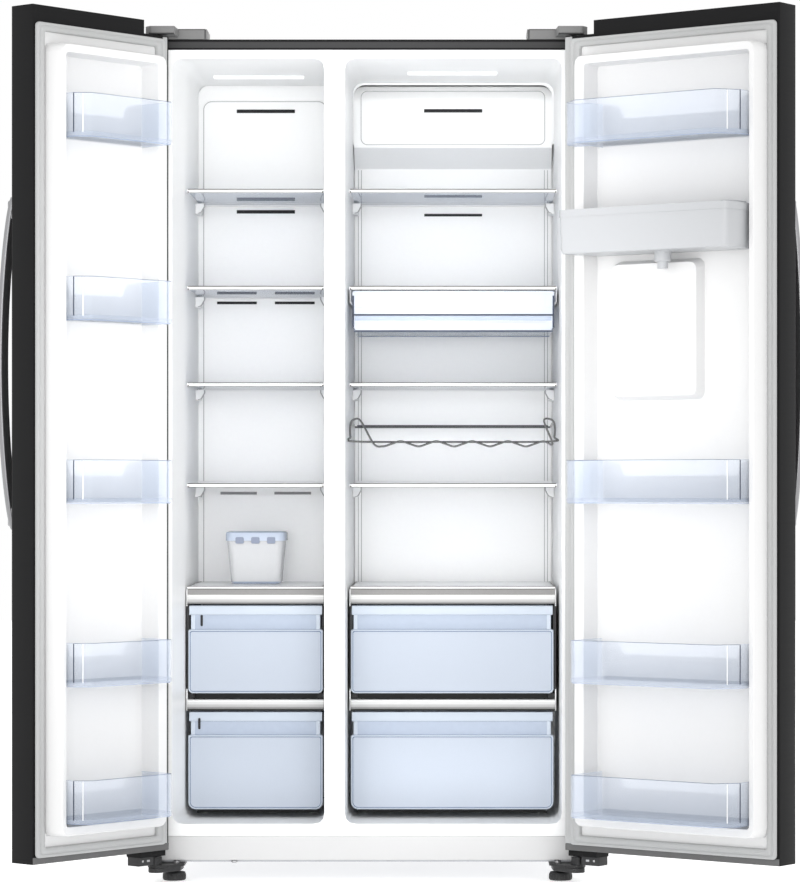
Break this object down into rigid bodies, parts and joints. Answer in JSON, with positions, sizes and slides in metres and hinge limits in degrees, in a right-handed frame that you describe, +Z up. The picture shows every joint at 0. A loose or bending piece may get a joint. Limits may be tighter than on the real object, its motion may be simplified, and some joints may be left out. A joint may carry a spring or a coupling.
{
  "type": "side by side refrigerator",
  "caption": "Tall side-by-side refrigerator standing open: freezer and fridge compartments with glass shelves, pull-out drawers, door bins and a water tank.",
  "frame": {"origin": "centre of the floor area that the part covers with both doors open, on the floor", "axes": "+Z up, +Y from the doors towards the back of the cabinet, +X to the fridge side"},
  "size_m": [1.6254, 0.9978, 1.786],
  "materials": {
    "painted_steel": "satin dark charcoal paint with a fine metallic grain",
    "liner_white": "smooth white moulded plastic",
    "gasket_grey": "soft light-grey seal",
    "bin_clear": "see-through plastic with a light blue tint",
    "drawer_frosted": "frosted light blue plastic",
    "shelf_glass": "clear tempered glass",
    "trim_satin": "white frame with a satin metal-look front bar",
    "wire_chrome": "bright chrome wire",
    "handle_metal": "brushed grey metal",
    "hinge_grey": "grey moulded cover",
    "bracket_black": "black painted steel",
    "foot_black": "black moulded rubber",
    "black_plastic": "black moulded plastic",
    "galvanised": "galvanised sheet",
    "foam": "rigid insulation foam",
    "coil_aluminium": "bare fins and tube",
    "lamp_white": "milky diffuser",
    "lid_blue": "pale blue plastic",
    "pump_black": "black enamel"
  },
  "bodies": {
    "cabinet": {"outer_shell": "painted_steel", "back_panel": "galvanised", "base_pan": "galvanised", "insulation_foam": "foam", "inner_liner": "liner_white", "kick_panel": "liner_white", "freezer_air_duct": "liner_white", "fridge_air_duct": "liner_white", "upper_hinge_left": "hinge_grey", "upper_hinge_right": "hinge_grey", "lower_hinge_left": "bracket_black", "lower_hinge_right": "bracket_black", "front_foot_left": "foot_black", "front_foot_right": "foot_black", "freezer_light": "lamp_white", "fridge_light": "lamp_white", "evaporator": "coil_aluminium", "condenser": "coil_aluminium", "compressor": "pump_black", "freezer_shelf_1": "shelf_glass", "fridge_shelf_1": "shelf_glass", "freezer_shelf_2": "shelf_glass", "fridge_shelf_2": "shelf_glass", "freezer_shelf_3": "shelf_glass", "fridge_shelf_3": "shelf_glass", "freezer_shelf_4": "shelf_glass", "fridge_shelf_4": "shelf_glass", "freezer_drawer_frame": "trim_satin", "fridge_drawer_frame": "trim_satin", "wine_rack": "wire_chrome"},
    "freezer_door": {"freezer_door_panel": "painted_steel", "freezer_door_liner": "liner_white", "freezer_door_bin_1": "bin_clear", "freezer_door_bin_2": "bin_clear", "freezer_door_bin_3": "bin_clear", "freezer_door_bin_4": "bin_clear", "freezer_door_bin_5": "bin_clear", "freezer_door_gasket": "gasket_grey", "freezer_door_handle": "handle_metal"},
    "fridge_door": {"fridge_door_panel": "painted_steel", "fridge_door_liner": "liner_white", "fridge_door_bin_1": "bin_clear", "fridge_door_bin_2": "bin_clear", "fridge_door_bin_3": "bin_clear", "fridge_door_bin_4": "bin_clear", "fridge_door_gasket": "gasket_grey", "fridge_door_handle": "handle_metal", "water_tank": "liner_white"},
    "deli_drawer_body": {"deli_drawer": "bin_clear"},
    "dispenser_paddle_body": {"dispenser_paddle": "black_plastic"},
    "evaporator_fan_body": {"evaporator_fan": "black_plastic"},
    "freezer_drawer_lower_body": {"freezer_drawer_lower": "drawer_frosted"},
    "freezer_drawer_upper_body": {"freezer_drawer_upper": "drawer_frosted"},
    "fridge_drawer_lower_body": {"fridge_drawer_lower": "drawer_frosted"},
    "fridge_drawer_upper_body": {"fridge_drawer_upper": "drawer_frosted"},
    "ice_box_body": {"ice_box": "bin_clear"},
    "ice_box_lid_body": {"ice_box_lid": "lid_blue"},
    "rear_roller_left_body": {"rear_roller_left": "black_plastic"},
    "rear_roller_right_body": {"rear_roller_right": "black_plastic"},
    "water_tank_lid_body": {"water_tank_lid": "liner_white"}
  },
  "joints": [
    {"name": "freezer_door_hinge", "type": "hinge", "parent": "cabinet", "child": "freezer_door", "pos_m": [-0.51241, -0.10512, 0.9], "axis": [0, 0, -1], "range_deg": [-130, 13]},
    {"name": "fridge_door_hinge", "type": "hinge", "parent": "cabinet", "child": "fridge_door", "pos_m": [0.36559, -0.10512, 0.9], "axis": [0, 0, 1], "range_deg": [-143, 0]},
    {"name": "freezer_drawer_upper_slide", "type": "slide", "parent": "cabinet", "child": "freezer_drawer_upper_body", "axis": [0, -1, 0], "range_m": [0, 0.3]},
    {"name": "freezer_drawer_lower_slide", "type": "slide", "parent": "cabinet", "child": "freezer_drawer_lower_body", "axis": [0, -1, 0], "range_m": [0, 0.2]},
    {"name": "fridge_drawer_upper_slide", "type": "slide", "parent": "cabinet", "child": "fridge_drawer_upper_body", "axis": [0, -1, 0], "range_m": [0, 0.3]},
    {"name": "fridge_drawer_lower_slide", "type": "slide", "parent": "cabinet", "child": "fridge_drawer_lower_body", "axis": [0, -1, 0], "range_m": [0, 0.2]},
    {"name": "deli_drawer_slide", "type": "slide", "parent": "cabinet", "child": "deli_drawer_body", "axis": [0, -1, 0], "range_m": [0, 0.2]},
    {"name": "ice_box_slide", "type": "slide", "parent": "cabinet", "child": "ice_box_body", "axis": [0, -1, 0], "range_m": [0, 0.22]},
    {"name": "ice_box_lid_lift", "type": "slide", "parent": "ice_box_body", "child": "ice_box_lid_body", "axis": [0, 0, 1], "range_m": [0, 0.06]},
    {"name": "water_tank_lid_lift", "type": "slide", "parent": "fridge_door", "child": "water_tank_lid_body", "axis": [0, 0, 1], "range_m": [0, 0.08]},
    {"name": "dispenser_paddle_push", "type": "hinge", "parent": "fridge_door", "child": "dispenser_paddle_body", "pos_m": [0.54528, -0.24053, 1.228], "axis": [-0.7986, 0.6018, 0], "range_deg": [0, 10], "stiffness_Nm_per_rad": 0.4, "springref_deg": -8.59},
    {"name": "evaporator_fan_spin", "type": "hinge", "parent": "cabinet", "child": "evaporator_fan_body", "pos_m": [-0.31141, 0.44238, 1], "axis": [0, 1, 0], "continuous": true},
    {"name": "rear_roller_left_spin", "type": "hinge", "parent": "cabinet", "child": "rear_roller_left_body", "pos_m": [-0.47841, 0.46188, 0.01685], "axis": [1, 0, 0], "continuous": true},
    {"name": "rear_roller_right_spin", "type": "hinge", "parent": "cabinet", "child": "rear_roller_right_body", "pos_m": [0.33159, 0.46188, 0.01685], "axis": [1, 0, 0], "continuous": true}
  ]
}
